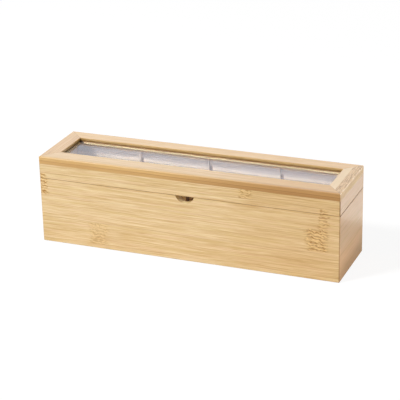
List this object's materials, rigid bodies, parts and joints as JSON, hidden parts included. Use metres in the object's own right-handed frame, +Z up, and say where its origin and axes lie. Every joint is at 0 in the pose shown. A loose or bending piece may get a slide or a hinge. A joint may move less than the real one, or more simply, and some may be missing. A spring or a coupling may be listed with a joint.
{
  "type": "tea bag box",
  "caption": "Long low bamboo box that keeps tea bags in upright compartments under a hinged lid with a clear window, opened by a finger notch in its front.",
  "frame": {"origin": "on the surface the box stands on, below the centre of the outline seen from above, hinge barrels included", "axes": "+Z up, +X along the box to the right of a person in front of it, -Y the front with the finger notch"},
  "size_m": [0.33, 0.0873, 0.096],
  "materials": {
    "bamboo_wall": "satin lacquer",
    "bamboo_frame": "satin lacquer",
    "bamboo_panel": "satin lacquer",
    "clear_pane": "clear, smooth",
    "brass": "satin"
  },
  "bodies": {
    "box": {"front_wall": "bamboo_wall", "back_wall": "bamboo_wall", "left_wall": "bamboo_wall", "right_wall": "bamboo_wall", "bottom_panel": "bamboo_panel", "left_divider": "bamboo_panel", "middle_divider": "bamboo_panel", "right_divider": "bamboo_panel", "left_hinge_box_leaf": "brass", "right_hinge_box_leaf": "brass", "left_hinge_pin": "brass", "right_hinge_pin": "brass", "box_leaf_screws": "brass"},
    "lid": {"lid_front_wall": "bamboo_wall", "lid_back_wall": "bamboo_wall", "lid_left_wall": "bamboo_wall", "lid_right_wall": "bamboo_wall", "frame_front_rail": "bamboo_frame", "frame_back_rail": "bamboo_frame", "frame_left_stile": "bamboo_frame", "frame_right_stile": "bamboo_frame", "window_pane": "clear_pane", "left_hinge_lid_leaf": "brass", "right_hinge_lid_leaf": "brass", "lid_leaf_screws": "brass"}
  },
  "joints": [
    {"name": "lid_hinge", "type": "hinge", "parent": "box", "child": "lid", "pos_m": [0, 0.04165, 0.072], "axis": [-1, 0, 0], "range_deg": [0, 100]}
  ]
}
